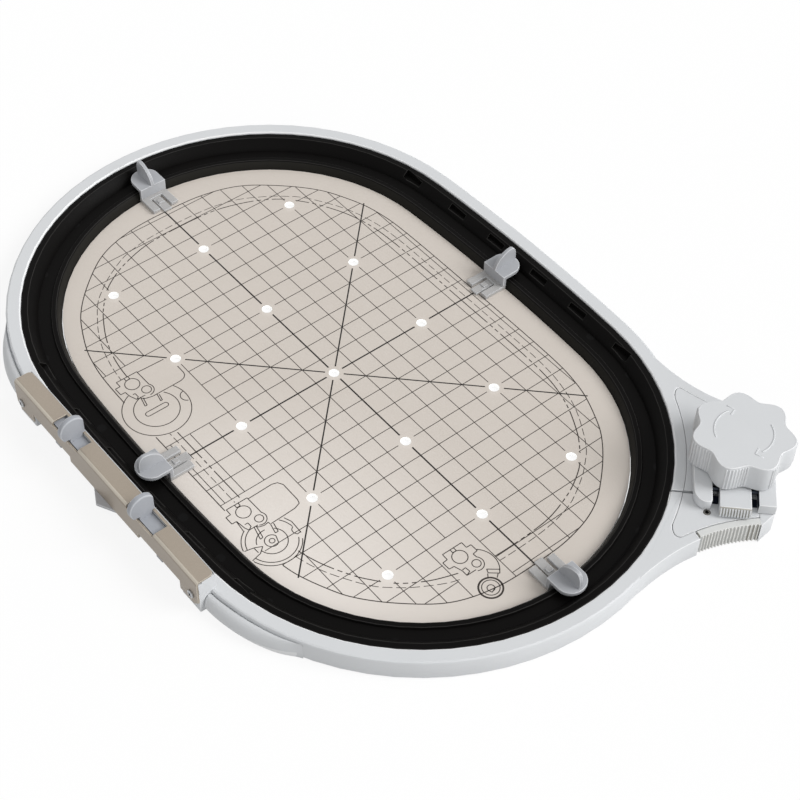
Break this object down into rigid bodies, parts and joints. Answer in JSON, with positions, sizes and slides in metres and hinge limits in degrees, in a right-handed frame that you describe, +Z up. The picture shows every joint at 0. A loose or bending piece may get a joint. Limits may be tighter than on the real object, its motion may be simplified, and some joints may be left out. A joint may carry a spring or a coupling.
{
  "type": "machine embroidery hoop",
  "caption": "Oval machine embroidery hoop: split outer ring with twist lock, release lever and arm coupling with squeeze latches, lift-out inner ring and clip-on grid template.",
  "frame": {"origin": "middle of the overall outline, on the surface the hoop lies on", "axes": "+X along the hoop, towards the end beside the lock; +Y across it, away from the machine coupling; +Z up"},
  "size_m": [0.3496, 0.2476, 0.0308],
  "materials": {
    "pale_plastic": "fine satin grain",
    "black_plastic": "satin moulded",
    "clear_plastic": "clear sheet with printed grid",
    "grey_plastic": "satin moulded",
    "cover_metal": "satin, taupe",
    "steel": "zinc plated",
    "white_plastic": "plain moulded",
    "grip_plastic": "ribbed, cream"
  },
  "bodies": {
    "outer": {"outer_ring": "pale_plastic", "coupling_cover": "cover_metal", "cover_screw_left": "steel", "cover_screw_right": "steel", "coupling_nose": "grey_plastic", "latch_spring": "steel", "lock_housing": "pale_plastic", "lever_pin": "steel", "lever_spring": "steel", "neck_cover_far": "pale_plastic", "neck_cover_near": "pale_plastic", "neck_cover_screw": "steel", "grip_pad": "grip_plastic"},
    "inner": {"inner_ring": "black_plastic"},
    "template": {"template_plate": "clear_plastic", "template_clip_lock_end": "grey_plastic", "template_clip_far_side": "grey_plastic", "template_clip_plain_end": "grey_plastic", "template_clip_coupling_side": "grey_plastic"},
    "knob": {"lock_knob": "pale_plastic", "draw_pinion": "white_plastic"},
    "rack": {"draw_rack": "white_plastic"},
    "lever": {"release_lever": "pale_plastic"},
    "latch_left": {"latch_slide_left": "grey_plastic"},
    "latch_right": {"latch_slide_right": "grey_plastic"}
  },
  "joints": [
    {"name": "inner_ring_lift", "type": "slide", "parent": "outer", "child": "inner", "axis": [0, 0, 1], "range_m": [0, 0.04]},
    {"name": "template_lift", "type": "slide", "parent": "inner", "child": "template", "axis": [0, 0, 1], "range_m": [0, 0.04]},
    {"name": "knob_turn", "type": "hinge", "parent": "outer", "child": "knob", "pos_m": [0.14495, 0.09618, 0], "axis": [0, 0, -1], "range_deg": [0, 57]},
    {"name": "rack_draw", "type": "slide", "parent": "outer", "child": "rack", "axis": [-0.7071, 0.7071, 0], "range_m": [0, 0.004]},
    {"name": "lever_press", "type": "hinge", "parent": "outer", "child": "lever", "pos_m": [0.15623, 0.08271, 0.0136], "axis": [0.7071, 0.7071, 0], "range_deg": [0, 4], "stiffness_Nm_per_rad": 0.05, "springref_deg": -17.19},
    {"name": "latch_left_squeeze", "type": "slide", "parent": "outer", "child": "latch_left", "axis": [1, 0, 0], "range_m": [0, 0.004], "stiffness_N_per_m": 400, "springref_m": -0.005, "deforming": ["latch_spring"]},
    {"name": "latch_right_squeeze", "type": "slide", "parent": "outer", "child": "latch_right", "axis": [-1, 0, 0], "range_m": [0, 0.004], "stiffness_N_per_m": 400, "springref_m": -0.005, "deforming": ["latch_spring"]}
  ],
  "couplings": [
    {"joint": "rack_draw", "follows": "knob_turn", "m_per_rad": 0.004}
  ]
}
